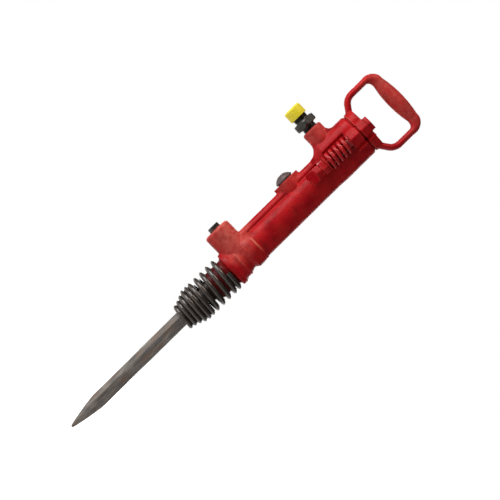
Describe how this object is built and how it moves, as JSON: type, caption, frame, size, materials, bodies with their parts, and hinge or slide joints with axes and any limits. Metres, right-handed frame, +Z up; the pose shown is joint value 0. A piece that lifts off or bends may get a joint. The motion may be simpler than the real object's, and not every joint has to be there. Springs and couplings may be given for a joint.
{
  "type": "pneumatic pick",
  "caption": "Hand-held pneumatic pick with a D handle on sprung side bolts, side air inlet, red cast cylinder, coned retaining spring and long pointed chisel.",
  "frame": {"origin": "the chisel's point", "axes": "+Z up the tool's axis from the chisel's point to the handle, -X towards the air inlet, -Y is the front side with one of the two side springs"},
  "size_m": [0.1631, 0.1052, 0.7266],
  "materials": {
    "red_paint": "red enamel on cast steel, satin, worn",
    "spring_black": "oil-blackened spring steel, satin",
    "chisel_steel": "forged bar, grey-brown with light rust",
    "hardened_steel": "ground and hardened",
    "black_steel": "black oxide",
    "plug_grey": "dark grey, satin",
    "copper": "soft copper",
    "brass": "drawn and perforated",
    "seal_rubber": "matte",
    "cap_yellow": "moulded, satin"
  },
  "bodies": {
    "tool_body": {"cylinder": "red_paint", "side_spring_front": "red_paint", "side_spring_rear": "red_paint", "spring_washers": "red_paint", "guide_bush_front": "red_paint", "guide_bush_rear": "red_paint", "retaining_spring": "spring_black", "chisel_bush": "hardened_steel", "valve_box_lower": "hardened_steel", "valve_box_upper": "hardened_steel", "valve_dowel": "hardened_steel", "throttle_seat": "hardened_steel", "throttle_guide": "hardened_steel", "throttle_spring": "hardened_steel", "cylinder_cap": "hardened_steel", "passage_plug": "black_steel", "inlet_nipple": "black_steel", "oil_plug": "plug_grey", "passage_plug_washer": "copper", "inlet_strainer": "brass", "oil_plug_seal": "seal_rubber", "cap_seal": "seal_rubber", "throttle_seal": "seal_rubber"},
    "handle_assembly": {"handle": "red_paint", "side_bolt_front": "red_paint", "side_bolt_rear": "red_paint", "bolt_sleeve_front": "hardened_steel", "bolt_sleeve_rear": "hardened_steel", "spring_seat_front": "red_paint", "spring_seat_rear": "red_paint", "press_pin": "hardened_steel"},
    "chisel": {"chisel": "chisel_steel"},
    "piston": {"piston": "hardened_steel"},
    "shuttle_valve": {"shuttle_valve": "hardened_steel"},
    "throttle_valve": {"throttle_valve": "hardened_steel"},
    "dust_cap": {"dust_cap": "cap_yellow"}
  },
  "joints": [
    {"name": "handle_press", "type": "slide", "parent": "tool_body", "child": "handle_assembly", "axis": [0, 0, -1], "range_m": [0, 0.0025], "stiffness_N_per_m": 20000, "springref_m": -0.004, "deforming": ["side_spring_front", "side_spring_rear"]},
    {"name": "throttle_open", "type": "slide", "parent": "tool_body", "child": "throttle_valve", "axis": [0, 0, -1], "range_m": [0, 0.0025], "deforming": ["throttle_spring"]},
    {"name": "chisel_slide", "type": "slide", "parent": "tool_body", "child": "chisel", "axis": [0, 0, 1], "range_m": [0, 0.0297]},
    {"name": "piston_slide", "type": "slide", "parent": "tool_body", "child": "piston", "axis": [0, 0, 1], "range_m": [0, 0.109]},
    {"name": "shuttle_slide", "type": "slide", "parent": "tool_body", "child": "shuttle_valve", "axis": [0, 0, 1], "range_m": [0, 0.0018]},
    {"name": "cap_pull", "type": "slide", "parent": "tool_body", "child": "dust_cap", "axis": [-1, 0, 0], "range_m": [0, 0.045]}
  ],
  "couplings": [
    {"joint": "throttle_open", "follows": "handle_press", "ratio": 1}
  ]
}
